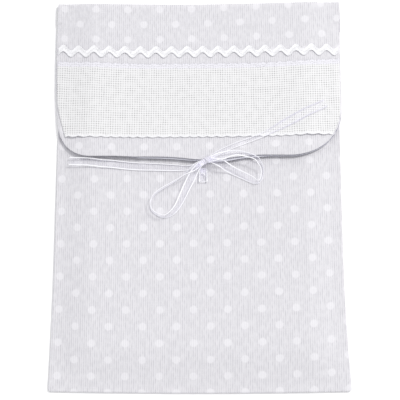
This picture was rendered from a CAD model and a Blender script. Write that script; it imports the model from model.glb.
"""Dress the fabric envelope bag: dotted ribbed cotton, embroidery canvas, rick-rack and organza.

The bag lies on its back on a pale floor, with X across it, +Y from the bottom seam to the flap's
fold and Z up. Lengths are in metres unless a name ends in _mm or _px, and angles in degrees.
Every cloth surface is a grid of points worked out from the same few sizes as the solids, with the
flat cloth's own coordinates kept in a UV map, so that each pattern follows its cloth.
"""

import logging
import math
from dataclasses import dataclass, replace
from enum import Enum
from typing import Any, Optional, Sequence

import bmesh
import bpy
import numpy as np
from mathutils import Matrix, Vector


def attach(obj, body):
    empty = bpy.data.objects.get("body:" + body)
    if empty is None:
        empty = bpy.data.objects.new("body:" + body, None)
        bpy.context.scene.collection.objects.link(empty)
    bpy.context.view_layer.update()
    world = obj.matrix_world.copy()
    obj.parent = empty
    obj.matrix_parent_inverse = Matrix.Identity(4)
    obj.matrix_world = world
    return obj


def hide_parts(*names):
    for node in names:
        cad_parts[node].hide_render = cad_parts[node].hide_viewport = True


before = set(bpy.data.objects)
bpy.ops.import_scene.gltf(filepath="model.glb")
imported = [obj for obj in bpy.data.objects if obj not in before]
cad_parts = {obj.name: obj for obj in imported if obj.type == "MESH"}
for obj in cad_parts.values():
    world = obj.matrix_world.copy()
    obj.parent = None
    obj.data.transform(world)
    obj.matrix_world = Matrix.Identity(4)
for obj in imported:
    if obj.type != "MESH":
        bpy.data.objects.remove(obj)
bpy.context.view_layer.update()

Table = Sequence[Sequence[float]]
LOG = logging.getLogger("envelope_bag")
CLOTH_MAP = "cloth"
MM = 0.001
UP = np.array([0.0, 0.0, 1.0])
# how close two vertices are merged, and how short an edge is taken out
MERGE_WITHIN = 2e-6
SHORTEST_EDGE = 1e-7
# how far the cloth's pattern creeps up a slope for each unit of height above its usual level
HEIGHT_CREEP = 0.287
BODY_LEVEL = 0.007
FLAP_LEVEL = 0.011
# the places across and up that count as 1 in the drift of the cloth's grain
GRAIN_REACH = 0.110
FLAP_GRAIN_MIDDLE = 0.085
FLAP_GRAIN_REACH = 0.065
# how steeply the front panel's rows of dots climb to the right, and where they are level with y
ROW_CLIMB = 0.0157
ROW_START = -0.0033
# how many points a smooth route has between two of the points that it passes through
FINE_STEPS = 16


def linear(code: str) -> tuple[float, float, float, float]:
    """Turn an sRGB hex colour into linear light.

    Args:
        code: six hex digits, with or without a leading hash.

    Returns:
        Red, green and blue in linear light, then an alpha of 1.
    """
    digits = code.lstrip("#")
    parts = [int(digits[k : k + 2], 16) / 255 for k in (0, 2, 4)]
    red, green, blue = [p / 12.92 if p <= 0.04045 else ((p + 0.055) / 1.055) ** 2.4 for p in parts]
    return red, green, blue, 1.0


def smooth_step(value: np.ndarray) -> np.ndarray:
    """Rise from 0 to 1 along 3t^2 - 2t^3 as the value t goes from 0 to 1."""
    t = np.clip(value, 0.0, 1.0)
    return t * t * (3.0 - 2.0 * t)


def table_value(table: Table, column: int, share: np.ndarray) -> np.ndarray:
    """Read one column of a table as one smooth curve through its rows.

    Between two rows the value follows a cubic whose slope at each row is the mean of the slopes
    on its two sides.

    Args:
        table: rows that start with the place they stand for.
        column: the column to read.
        share: the places to read it at.

    Returns:
        The column's value at each place.
    """
    rows = np.array(table)
    knots, values = rows[:, 0], rows[:, column]
    slopes = np.gradient(values, knots)
    share = np.clip(share, knots[0], knots[-1])
    row = np.clip(np.searchsorted(knots, share) - 1, 0, len(knots) - 2)
    step = knots[row + 1] - knots[row]
    t = (share - knots[row]) / step
    lean_in, lean_out = slopes[row] * step, slopes[row + 1] * step
    return (
        (2 * t**3 - 3 * t**2 + 1) * values[row]
        + (t**3 - 2 * t**2 + t) * lean_in
        + (3 * t**2 - 2 * t**3) * values[row + 1]
        + (t**3 - t**2) * lean_out
    )


def unit(vectors: np.ndarray) -> np.ndarray:
    """Return the vectors along the last axis at length 1."""
    return vectors / np.maximum(np.linalg.norm(vectors, axis=-1, keepdims=True), 1e-12)


def way_along(points: np.ndarray) -> np.ndarray:
    """Return how far along its line each point lies, from the first one on."""
    steps = np.linalg.norm(np.diff(points, axis=0), axis=1)
    return np.concatenate([[0.0], np.cumsum(steps)])


def closed_rim(half: np.ndarray) -> np.ndarray:
    """Close a wall's rims.

    Args:
        half: its grid of half thicknesses.

    Returns:
        The same grid with exactly 0 along its four rims.
    """
    half = half.copy()
    half[0], half[-1], half[:, 0], half[:, -1] = 0.0, 0.0, 0.0, 0.0
    return half


def close_to_ends(count: int, edge: Sequence[float], span: float) -> np.ndarray:
    """Return shares from 0 to 1 with extra ones near both ends.

    Args:
        count: how many even steps there are between the two edge stretches.
        edge: distances from an end, rising from 0, that get a share of their own.
        span: the whole length that the distances belong to.

    Returns:
        The shares, rising from 0 to 1.
    """
    near = np.array(edge) / span
    middle = np.linspace(near[-1], 1 - near[-1], count + 1)
    return np.concatenate([near[:-1], middle, 1 - near[-2::-1]])


@dataclass
class Patch:
    """A grid of surface points, the flat cloth's coordinates of each, and its finish's number."""

    points: np.ndarray
    flat: np.ndarray
    finish: int = 0

    def corners(self, offset: int) -> np.ndarray:
        """Number the grid's faces.

        Args:
            offset: the number of the grid's first vertex.

        Returns:
            The four vertex numbers of each face.
        """
        rows, columns = self.points.shape[:2]
        index = np.arange(rows * columns).reshape(rows, columns) + offset
        quads = np.stack([index[:-1, :-1], index[:-1, 1:], index[1:, 1:], index[1:, :-1]], axis=-1)
        return quads.reshape(-1, 4)


def weld(name: str, patches: Sequence[Patch], materials: Sequence[Any]) -> bpy.types.Object:
    """Join patches into one closed piece: vertices that meet are merged, and faces turned outwards.

    Args:
        name: the piece's name.
        patches: the grids that meet along their rims.
        materials: the finishes, in the order that each patch's finish number counts them.

    Returns:
        The piece, linked to the scene, with its place in its mesh.
    """
    quads, offset = [], 0
    for patch in patches:
        quads.append(patch.corners(offset))
        offset += patch.points.shape[0] * patch.points.shape[1]
    vertices = np.concatenate([p.points.reshape(-1, 3) for p in patches])
    flat = np.concatenate([p.flat.reshape(-1, 2) for p in patches])
    finish = np.concatenate([np.full(len(q), p.finish) for p, q in zip(patches, quads)])
    faces = np.concatenate(quads)
    mesh = bpy.data.meshes.new(name)
    mesh.from_pydata(vertices, [], faces)
    layer = mesh.uv_layers.new(name=CLOTH_MAP)
    layer.data.foreach_set("uv", flat[faces.ravel()].ravel())
    mesh.polygons.foreach_set("material_index", finish)
    shell = bmesh.new()
    shell.from_mesh(mesh)
    bmesh.ops.remove_doubles(shell, verts=shell.verts, dist=MERGE_WITHIN)
    bmesh.ops.dissolve_degenerate(shell, edges=shell.edges, dist=SHORTEST_EDGE)
    bmesh.ops.recalc_face_normals(shell, faces=shell.faces)
    shell.to_mesh(mesh)
    shell.free()
    for material in materials:
        mesh.materials.append(material)
    mesh.shade_smooth()
    piece = bpy.data.objects.new(name, mesh)
    bpy.context.scene.collection.objects.link(piece)
    return piece


def grid_normals(points: np.ndarray) -> np.ndarray:
    """Return the unit normals of a grid: the cross product of its steps across and along."""
    return unit(np.cross(np.gradient(points, axis=1), np.gradient(points, axis=0)))


def two_faces(middle: np.ndarray, half: Any, flat: np.ndarray) -> list[Patch]:
    """Make the two faces of a wall whose half thickness is 0 along its rim, so that they meet there.

    Args:
        middle: the grid of the wall's middle points.
        half: half the thickness at each point, or two such grids, one for each face.
        flat: the flat cloth's coordinates at each point.

    Returns:
        The face on the side of the grid's normals, then the other one.
    """
    upper_half, lower_half = half if isinstance(half, tuple) else (half, half)
    normals = grid_normals(middle)
    upper = middle + normals * upper_half[..., None]
    lower = middle - normals * lower_half[..., None]
    return [Patch(upper, flat), Patch(lower[::-1], flat[::-1])]


def rounded(distance: np.ndarray, radius: float) -> np.ndarray:
    """Return the share of full thickness at a distance from a rim rounded as a quarter circle."""
    t = np.clip(distance / radius, 0.0, 1.0)
    return np.sqrt(1.0 - (1.0 - t) ** 2)


@dataclass(frozen=True)
class BagForm:
    """The sizes of the bag, and how high each cloth lies over each place on the floor.

    The bag is symmetric but for what its left and right sizes say. A fall is how far inside a
    seam the pocket reaches its full depth, a sag how far a line hangs down between its ends.
    """

    width: float = 0.221
    height: float = 0.307
    cloth: float = 0.0010
    pocket_depth: float = 0.0054
    gap: float = 0.0003
    side_fall: float = 0.029
    bottom_fall: float = 0.033
    pouch_corner: float = 0.0022
    bottom_bow: float = 0.0012
    mouth_below_fold: float = 0.0180
    flap_length: float = 0.1300
    corner_left: float = 0.0250
    corner_right: float = 0.0390
    edge_lift: float = 0.0022
    lift_run: float = 0.050
    lift_at_left: float = 0.40
    lift_at_right: float = 0.70
    lift_side_run: float = 0.045
    edge_dip: float = 0.0026
    dip_spread: float = 0.020
    side_droop: float = 0.0012
    droop_run: float = 0.0060
    fold_slant: float = 0.00095
    fold_lead: float = 0.0005
    fold_sag: float = 0.0026
    facing: float = 0.0010
    facing_start: float = 0.026
    band_slant: float = 0.0012
    knot_aside: float = 0.0050
    ripple: float = 0.00012

    # up, left, right: the pouch's half-widths as shares of half the bag's width
    pouch_outline: Table = (
        (0.00, 0.991, 1.010),
        (0.05, 0.986, 1.002),
        (0.13, 0.981, 0.991),
        (0.26, 0.975, 0.980),
        (0.42, 0.974, 0.977),
        (0.62, 0.973, 0.979),
        (1.00, 0.977, 0.983),
    )
    # down, left, right: the flap's half-widths, before its corners are rounded
    flap_outline: Table = (
        (0.00, 0.994, 0.998),
        (0.35, 0.995, 0.993),
        (0.55, 0.991, 0.993),
        (0.70, 0.981, 0.992),
        (0.85, 0.964, 0.987),
        (1.00, 0.952, 0.982),
    )
    # side, rise, start, run: how the flap's lower edge rises to its right and left side
    edge_rises: Table = ((1.0, 0.0015, 0.020, 0.030), (-1.0, 0.0006, 0.045, 0.020))
    # how far each small wave of the cloth runs for one radian
    waves_across: float = 0.0170
    waves_up: float = 0.0125
    waves_aslant: float = 0.0105
    # across, up, spread_across, spread_up, rise: soft swells as shares of the half sizes and depth
    soft_forms: Table = (
        (-0.45, -0.55, 0.32, 0.24, 0.10),
        (0.48, -0.62, 0.28, 0.22, 0.08),
        (0.10, -0.30, 0.36, 0.17, -0.08),
        (-0.52, 0.00, 0.26, 0.20, -0.06),
        (0.55, -0.08, 0.26, 0.22, 0.09),
        (0.00, 0.62, 0.42, 0.20, 0.08),
    )

    @property
    def half_width(self) -> float:
        """Half the bag's width."""
        return self.width / 2

    @property
    def half_height(self) -> float:
        """Half the bag's height."""
        return self.height / 2

    @property
    def seam(self) -> float:
        """How thick the pouch is along its sewn edges."""
        return 2 * self.cloth

    @property
    def mouth_y(self) -> float:
        """Where the pouch's mouth lies."""
        return self.half_height - self.mouth_below_fold

    @property
    def flap_edge_y(self) -> float:
        """Where the flap's lower edge lies, away from the bow."""
        return self.half_height - self.flap_length

    @property
    def underlay(self) -> float:
        """What lies between the front panel and the flap: the facing and a gap each side."""
        return self.facing + 2 * self.gap

    def pouch_sides(self, y: np.ndarray) -> tuple[np.ndarray, np.ndarray]:
        """Find the pouch's edges, its corners rounded as arcs.

        Args:
            y: places up the bag.

        Returns:
            The x of the left and the right edge at each place.
        """
        share = (y + self.half_height) / self.height
        up = np.clip(y + self.half_height, 0.0, self.pouch_corner)
        inset = self.pouch_corner - np.sqrt(self.pouch_corner**2 - (self.pouch_corner - up) ** 2)
        left = -self.half_width * table_value(self.pouch_outline, 1, share) + inset
        right = self.half_width * table_value(self.pouch_outline, 2, share) - inset
        return left, right

    def wrinkle(self, x: np.ndarray, y: np.ndarray) -> np.ndarray:
        """Raise the small waves of cloth that is never quite flat: three crossing sine waves.

        Args:
            x: places across the bag.
            y: places up the bag.

        Returns:
            The waves' height at each place.
        """
        wave = (
            np.sin(x / self.waves_across + 1.3 * np.sin(y / 0.031))
            + np.sin(y / self.waves_up + 0.9 * np.sin(x / 0.024) + 1.1)
            + 0.8 * np.sin((x + 0.7 * y) / self.waves_aslant + 2.0)
        )
        return self.ripple * wave

    def front(self, x: np.ndarray, y: np.ndarray) -> np.ndarray:
        """Find the height of the front panel: the seam's, plus the pocket's soft rise.

        The rise falls smoothly to the seams, and bell curves swell it here and there.

        Args:
            x: places across the bag.
            y: places up the bag.

        Returns:
            The height at each place.
        """
        left, right = self.pouch_sides(y)
        to_side = np.minimum(x - left, right - x)
        loft = smooth_step(to_side / self.side_fall)
        loft = loft * smooth_step((y + self.half_height) / self.bottom_fall)
        swell = np.ones_like(loft)
        for across, up, spread_across, spread_up, rise in self.soft_forms:
            dx = (x / self.half_width - across) / spread_across
            dy = (y / self.half_height - up) / spread_up
            swell = swell + rise * np.exp(-(dx**2) - dy**2)
        return self.seam + self.pocket_depth * loft * swell + self.wrinkle(x, y) * loft

    def fold_y(self, x: np.ndarray) -> np.ndarray:
        """Find where the fold lies: highest at its right end, lowest near its middle.

        Args:
            x: places across the bag.

        Returns:
            The fold's y at each place.
        """
        across = x / self.half_width
        top = self.half_height + self.fold_lead
        return top - self.fold_slant * (1.0 - across) - self.fold_sag * (1.0 - across**2)

    def hang(self, x: np.ndarray, sag: float) -> np.ndarray:
        """Return how far above its middle a trim on the flap lies: a cubic rise to both ends."""
        across = x / self.half_width
        return sag * np.abs(across) ** 3 + self.band_slant * across

    def lower_edge(self, x: np.ndarray) -> np.ndarray:
        """Find the flap's lower edge before its corners are rounded.

        It is pulled down by the bow along a bell curve, and runs a little higher to both sides.

        Args:
            x: places across the bag.

        Returns:
            The edge's y at each place.
        """
        dip = self.edge_dip * np.exp(-(((x - self.knot_aside) / self.dip_spread) ** 2))
        rise = sum(high * smooth_step((side * x - start) / run) for side, high, start, run in self.edge_rises)
        return self.flap_edge_y - dip + rise

    def flap_sides(self, y: np.ndarray) -> tuple[np.ndarray, np.ndarray]:
        """Find the flap's edges without its rounded corners.

        Args:
            y: places up the bag.

        Returns:
            The x of the left and the right edge at each place.
        """
        down = (self.half_height - y) / self.flap_length
        left = -self.half_width * table_value(self.flap_outline, 1, down)
        right = self.half_width * table_value(self.flap_outline, 2, down)
        return left, right

    def flap_edges(self, y: np.ndarray) -> tuple[np.ndarray, np.ndarray]:
        """Find the flap's edges with its corners drawn in as arcs.

        Args:
            y: places up the bag.

        Returns:
            The x of the left and the right edge at each place.
        """
        left, right = self.flap_sides(y)
        inset = []
        for radius in (self.corner_left, self.corner_right):
            up = np.clip(y - self.flap_edge_y, 0.0, radius)
            inset.append(radius - np.sqrt(radius**2 - (radius - up) ** 2))
        return left + inset[0], right - inset[1]

    def flap_depth(self, x: np.ndarray, y: np.ndarray) -> np.ndarray:
        """Find how far inside the flap's outline each point lies, along straights and arcs.

        Args:
            x: places across the bag.
            y: places up the bag.

        Returns:
            The distance to the outline, or 0 outside it.
        """
        left, right = self.flap_sides(y)
        below = y - self.lower_edge(x)
        depth = below
        for radius, aside in ((self.corner_left, x - left), (self.corner_right, right - x)):
            in_corner = (aside < radius) & (below < radius)
            round_depth = radius - np.hypot(radius - aside, radius - below)
            depth = np.minimum(depth, np.where(in_corner, round_depth, aside))
        return np.maximum(depth, 0.0)

    def flap_under(self, x: np.ndarray, y: np.ndarray) -> np.ndarray:
        """Find the height of the flap's under face.

        It lifts as a parabola to its lower edge, less near its corners, and droops at its sides.

        Args:
            x: places across the bag.
            y: places up the bag.

        Returns:
            The height at each place.
        """
        down = np.maximum((self.flap_edge_y + self.lift_run - y) / self.lift_run, 0.0)
        from_side = self.half_width - np.abs(x)
        at_side = np.where(x < 0.0, self.lift_at_left, self.lift_at_right)
        inwards = smooth_step(from_side / self.lift_side_run)
        lift = self.edge_lift * down**2 * (at_side + (1.0 - at_side) * inwards)
        droop = self.side_droop * (1.0 - smooth_step(from_side / self.droop_run)) * (y < self.mouth_y)
        return self.front(x, y) + self.underlay + lift - droop

    def flap_top(self, x: np.ndarray, y: np.ndarray) -> np.ndarray:
        """Return the height of the flap's upper face."""
        return self.flap_under(x, y) + self.cloth

    def flap_station(self, share: float, across: np.ndarray, grow: Any) -> tuple[np.ndarray, np.ndarray]:
        """Place one row of the flap's front, straight across from side to side.

        Args:
            share: 0 at the top row, 0.5 where the corners start, 1 at the lower edge. From 0.5
                on, the row's ends go round the corners by even angles.
            across: shares from 0 at the left end of the row to 1 at its right end.
            grow: how far the outline is pushed out past the flap's own.

        Returns:
            The row's x and y.
        """
        radius_left, radius_right = self.corner_left + grow, self.corner_right + grow
        radius = radius_left + (radius_right - radius_left) * across
        turn = max(2 * share - 1, 0.0) * math.pi / 2
        straight = min(2 * share, 1.0)
        top = self.half_height - self.facing_start
        corner_y = self.flap_edge_y - grow + radius
        y = top + (corner_y - top) * straight - radius * math.sin(turn)
        left, right = self.flap_sides(y)
        inset_left = radius_left * (1 - math.cos(turn))
        inset_right = radius_right * (1 - math.cos(turn))
        x = (left + inset_left) + (right - inset_right - left - inset_left) * across
        near_edge = np.clip(1.0 - (y - self.flap_edge_y) / radius, 0.0, 1.0)
        return x, y + (self.lower_edge(x) - self.flap_edge_y) * near_edge


def body_grain(x: np.ndarray, y: np.ndarray, z: np.ndarray) -> np.ndarray:
    """Work out the flat cloth's coordinates of the front panel.

    The cloth's rows of dots climb a little to the right, and its grain drifts by low powers of
    the place across and up, as cloth does that was laid down by hand. It also creeps up a share
    of each rise in height, because cloth that goes up a slope is longer than the floor under it.

    Args:
        x: places across the bag.
        y: places up the bag.
        z: their heights.

    Returns:
        The coordinates across and along the cloth.
    """
    laid = y + HEIGHT_CREEP * (z - BODY_LEVEL)
    across, up = x / GRAIN_REACH, laid / GRAIN_REACH
    drift_x = -0.46 + 0.22 * across - 0.78 * up + 0.90 * across**2 - 0.51 * up**2
    drift_y = 0.16 - 0.24 * across + 2.28 * up + 0.81 * across**2 + 1.48 * up**2
    climb = ROW_CLIMB * (x - ROW_START)
    return np.stack([x - drift_x * MM, laid - drift_y * MM - climb], axis=-1)


def flap_grain(x: np.ndarray, y: np.ndarray, z: np.ndarray) -> np.ndarray:
    """Work out the flat cloth's coordinates of the flap, whose rows of dots rise to both ends.

    Its grain drifts by low powers of the place across and up, as the front panel's does.

    Args:
        x: places across the bag.
        y: places up the bag, as far up as the cloth runs.
        z: their heights.

    Returns:
        The coordinates across and along the cloth.
    """
    laid = y + HEIGHT_CREEP * (z - FLAP_LEVEL)
    across, up = x / GRAIN_REACH, (laid - FLAP_GRAIN_MIDDLE) / FLAP_GRAIN_REACH
    drift_x = -0.46 * across + 1.07 * across**2 + 0.43 * across**3 - 0.86 * up + 0.23 * across * up
    drift_y = 3.55 * across + 3.13 * across**2 - 1.66 * across**3 + 0.16 * up + 0.52 * across * up
    return np.stack([x - drift_x * MM, laid - drift_y * MM], axis=-1)


def add_node(
    tree: bpy.types.NodeTree,
    kind: str,
    links: Optional[dict[Any, Any]] = None,
    **settings: Any,
) -> bpy.types.Node:
    """Add one node with its settings and links.

    Args:
        tree: the material's node tree.
        kind: the node's type name.
        links: by input name or number, an output socket to link or a value to set.
        settings: attributes to set on the node itself.

    Returns:
        The new node.
    """
    node = tree.nodes.new(kind)
    for key, value in settings.items():
        setattr(node, key, value)
    for key, value in (links or {}).items():
        if isinstance(value, bpy.types.NodeSocket):
            tree.links.new(value, node.inputs[key])
        else:
            node.inputs[key].default_value = value
    return node


class Weaver:
    """Builds up one material's nodes: its coordinates, masks and mixes, in the cloth's own map."""

    def __init__(self, name: str) -> None:
        """Start a material with a Principled shader and the cloth's coordinates in millimetres.

        Args:
            name: the material's name.
        """
        self.material = bpy.data.materials.new(name)
        self.material.use_nodes = True
        self.tree = self.material.node_tree
        self.shader = self.tree.nodes["Principled BSDF"]
        uv = add_node(self.tree, "ShaderNodeUVMap", uv_map=CLOTH_MAP)
        self.flat_mm = self.vector("SCALE", uv.outputs[0], scale=1 / MM)
        parts = add_node(self.tree, "ShaderNodeSeparateXYZ", {0: self.flat_mm})
        self.x_mm, self.y_mm = parts.outputs[0], parts.outputs[1]
        place = add_node(self.tree, "ShaderNodeTexCoord")
        height = add_node(self.tree, "ShaderNodeSeparateXYZ", {0: place.outputs["Object"]}).outputs[2]
        self.z_mm = self.times(height, 1 / MM)

    def math(self, operation: str, *values: Any, clamp: bool = False) -> bpy.types.NodeSocket:
        """Add one arithmetic step.

        Args:
            operation: the step's name.
            values: its inputs in order, as sockets or numbers.
            clamp: whether the result is held between 0 and 1.

        Returns:
            The result.
        """
        links = dict(enumerate(values))
        return add_node(self.tree, "ShaderNodeMath", links, operation=operation, use_clamp=clamp).outputs[0]

    def times(self, first: Any, second: Any) -> bpy.types.NodeSocket:
        """Return the product of two sockets or numbers."""
        return self.math("MULTIPLY", first, second)

    def rest_of(self, share: Any) -> bpy.types.NodeSocket:
        """Return what a share leaves of 1."""
        return self.math("SUBTRACT", 1.0, share)

    def swing(self, share: Any, reach: float) -> bpy.types.NodeSocket:
        """Return a value that runs from minus to plus a reach as the share goes from 0 to 1."""
        return self.math("MULTIPLY_ADD", share, 2 * reach, -reach)

    def vector(self, operation: str, *values: Any, scale: Optional[float] = None) -> bpy.types.NodeSocket:
        """Add one vector step.

        Args:
            operation: the step's name.
            values: its inputs in order, as sockets or vectors.
            scale: the factor, for a step that scales.

        Returns:
            The result: a number for a length, or else a vector.
        """
        links: dict[Any, Any] = dict(enumerate(values))
        if scale is not None:
            links["Scale"] = scale
        node = add_node(self.tree, "ShaderNodeVectorMath", links, operation=operation)
        return node.outputs["Value" if operation == "LENGTH" else "Vector"]

    def ramp(self, value: Any, low: float, high: float, to_low: float = 0.0, to_high: float = 1.0) -> Any:
        """Lead a value smoothly from one level to another.

        Args:
            value: the input.
            low: where the rise starts.
            high: where it ends.
            to_low: the level up to the start.
            to_high: the level from the end on.

        Returns:
            The result.
        """
        links = {"Value": value, "From Min": low, "From Max": high, "To Min": to_low, "To Max": to_high}
        node = add_node(self.tree, "ShaderNodeMapRange", links, interpolation_type="SMOOTHSTEP")
        return node.outputs["Result"]

    def noise(self, size_mm: float, stretch: tuple[float, float] = (1.0, 1.0), detail: float = 2.0) -> Any:
        """Add noise in the cloth's own map.

        Args:
            size_mm: its grain size.
            stretch: how much longer the grain is across and along the cloth.
            detail: how many finer layers it has.

        Returns:
            The noise, from 0 to 1.
        """
        scale = Vector((1 / (size_mm * stretch[0]), 1 / (size_mm * stretch[1]), 1.0))
        place = self.vector("MULTIPLY", self.flat_mm, scale)
        links = {"Vector": place, "Scale": 1.0, "Detail": detail}
        return add_node(self.tree, "ShaderNodeTexNoise", links).outputs["Fac"]

    def wave(self, across: Any, period_mm: float) -> Any:
        """Return a sine wave from 0 to 1 across a coordinate in millimetres."""
        turn = self.times(across, 2 * math.pi / period_mm)
        return self.math("MULTIPLY_ADD", self.math("SINE", turn), 0.5, 0.5)

    def mix(self, share: Any, first: Any, second: Any) -> Any:
        """Blend two colours.

        Args:
            share: the second colour's share.
            first: a colour's socket or hex code.
            second: the same, for the other colour.

        Returns:
            The blend.
        """
        colours = [linear(colour) if isinstance(colour, str) else colour for colour in (first, second)]
        links = {0: share, 6: colours[0], 7: colours[1]}
        return add_node(self.tree, "ShaderNodeMix", links, data_type="RGBA").outputs[2]

    def bump(self, height: Any, depth: float) -> None:
        """Raise the surface's shading.

        Args:
            height: how high each place stands, from 0 to 1.
            depth: what a height of 1 stands for, in metres.
        """
        node = add_node(self.tree, "ShaderNodeBump", {"Height": height, "Distance": depth, "Strength": 1.0})
        self.tree.links.new(node.outputs[0], self.shader.inputs["Normal"])

    def set(self, **values: Any) -> None:
        """Set or link the shader's own sockets.

        Args:
            values: sockets, numbers or colours, by the input's name with underscores for spaces.
        """
        for key, value in values.items():
            socket = self.shader.inputs[key.replace("_", " ")]
            if isinstance(value, bpy.types.NodeSocket):
                self.tree.links.new(value, socket)
            else:
                socket.default_value = value


class Finish:
    """A kind of cloth or thread, which weaves its own pattern into a new material."""

    def material(self, name: str) -> bpy.types.Material:
        """Make the material.

        Args:
            name: its name.

        Returns:
            The material.
        """
        w = Weaver(name)
        self.weave(w)
        return w.material

    def weave(self, w: Weaver) -> None:
        """Set the shader from the finish's own nodes.

        Args:
            w: the new material's nodes.
        """
        raise NotImplementedError


@dataclass(frozen=True)
class DottedCotton(Finish):
    """Pin-dot ribbed cotton: a fine vertical rib, pale round dots printed in staggered rows.

    Woven cotton is matt with a faint sheen, so its roughness is high and its specular level low.
    It gives the eye soft grey streaks under paler dots. The ribs are drawn coarser than the real
    ones, which are too fine to show. A sewn edge near the floor is darker, as the eye sees a seam.
    """

    ground: str = "#DFDEE2"
    rib_shade: str = "#C8C7CC"
    dot: str = "#E8E7EB"
    seam: str = "#6E6D76"
    seam_from_mm: float = 0.3
    seam_mm: float = 1.5
    seam_cover: float = 0.55
    pitch_mm: float = 24.97
    dot_radius_mm: float = 2.95
    dot_rim_mm: float = 0.9
    dot_cover: float = 0.72
    rib_mm: float = 1.6
    rib_sharpness: float = 1.4
    weft_mm: float = 1.9
    weft_cover: float = 0.35
    cloud_mm: float = 14.0
    cloud_cover: float = 0.06
    rib_height: float = 0.00012
    # the flat cloth's coordinates of one dot's centre
    origin_mm: tuple[float, float] = (0.0, 0.0)

    def weave(self, w: Weaver) -> None:
        """Weave the ribs and print the dots.

        A dot is where the distance to the nearest point of two square lattices, one in the
        middles of the other, is under the dot's radius, its rim made uneven by noise.

        Args:
            w: the new material's nodes.
        """
        from_dot = w.vector("SUBTRACT", w.flat_mm, Vector((*self.origin_mm, 0.0)))
        in_cells = w.vector("SCALE", from_dot, scale=1 / self.pitch_mm)
        distances = []
        for shift in (0.5, 1.0):
            cell = w.vector("FRACTION", w.vector("ADD", in_cells, Vector((shift, shift, 0.0))))
            away = w.vector("LENGTH", w.vector("SUBTRACT", cell, Vector((0.5, 0.5, 0.0))))
            distances.append(w.times(away, self.pitch_mm))
        rim = w.swing(w.noise(0.9), self.dot_rim_mm)
        nearest = w.math("ADD", w.math("MINIMUM", *distances), rim)
        dots = w.ramp(nearest, self.dot_radius_mm - 0.7, self.dot_radius_mm + 0.6, 1.0, 0.0)
        rib = w.math("POWER", w.wave(w.x_mm, self.rib_mm), self.rib_sharpness)
        rib_strength = w.ramp(w.noise(2.0, (1.0, 2.5), 4.0), 0.32, 0.68, 0.20, 1.0)
        weft_strength = w.ramp(w.noise(7.0), 0.45, 0.65, 0.0, self.weft_cover)
        weft = w.times(w.wave(w.y_mm, self.weft_mm), weft_strength)
        shade = w.math("MAXIMUM", w.times(w.rest_of(rib), rib_strength), weft)
        threads = w.mix(shade, self.ground, self.rib_shade)
        printed = w.mix(w.times(dots, self.dot_cover), threads, self.dot)
        cloudy = w.ramp(w.noise(self.cloud_mm, detail=3.0), 0.25, 0.75)
        colour = w.mix(w.times(cloudy, self.cloud_cover), printed, self.rib_shade)
        at_seam = w.ramp(w.z_mm, self.seam_from_mm, self.seam_mm, self.seam_cover, 0.0)
        colour = w.mix(at_seam, colour, self.seam)
        fine = w.noise(0.35, (1.0, 1.6))
        w.bump(w.math("MULTIPLY_ADD", fine, 0.35, rib), self.rib_height)
        w.set(Base_Color=colour, Roughness=0.88, Specular_IOR_Level=0.25)
        w.set(Sheen_Weight=0.06, Sheen_Roughness=0.5)


@dataclass(frozen=True)
class PlainCotton(Finish):
    """Plain-woven cotton of the facing: a fine over-and-under of threads.

    It is matt like the dotted cotton, and gives the eye a plain pale lip. The weave is drawn a
    little coarser than the real one.
    """

    ground: str = "#DEDEE6"
    under: str = "#BBBAC4"
    under_cover: float = 0.2
    thread_mm: float = 0.6
    thread_height: float = 0.0001

    def weave(self, w: Weaver) -> None:
        """Weave the plain cotton: two crossed sine waves for its threads.

        Args:
            w: the new material's nodes.
        """
        over = w.times(w.wave(w.x_mm, self.thread_mm), w.wave(w.y_mm, self.thread_mm))
        colour = w.mix(w.times(over, self.under_cover), self.ground, self.under)
        w.bump(over, self.thread_height)
        w.set(Base_Color=colour, Roughness=0.9, Specular_IOR_Level=0.25)


@dataclass(frozen=True)
class Interfacing(Finish):
    """Slate non-woven interfacing on hidden under sides: matt, without a pattern of its own.

    It gives the eye the deep line under the flap's edge, where its shade shows for a millimetre.
    """

    ground: str = "#6C6986"

    def weave(self, w: Weaver) -> None:
        """Lay the interfacing, one even slate.

        Args:
            w: the new material's nodes.
        """
        w.set(Base_Color=linear(self.ground), Roughness=0.95, Specular_IOR_Level=0.1)


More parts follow.
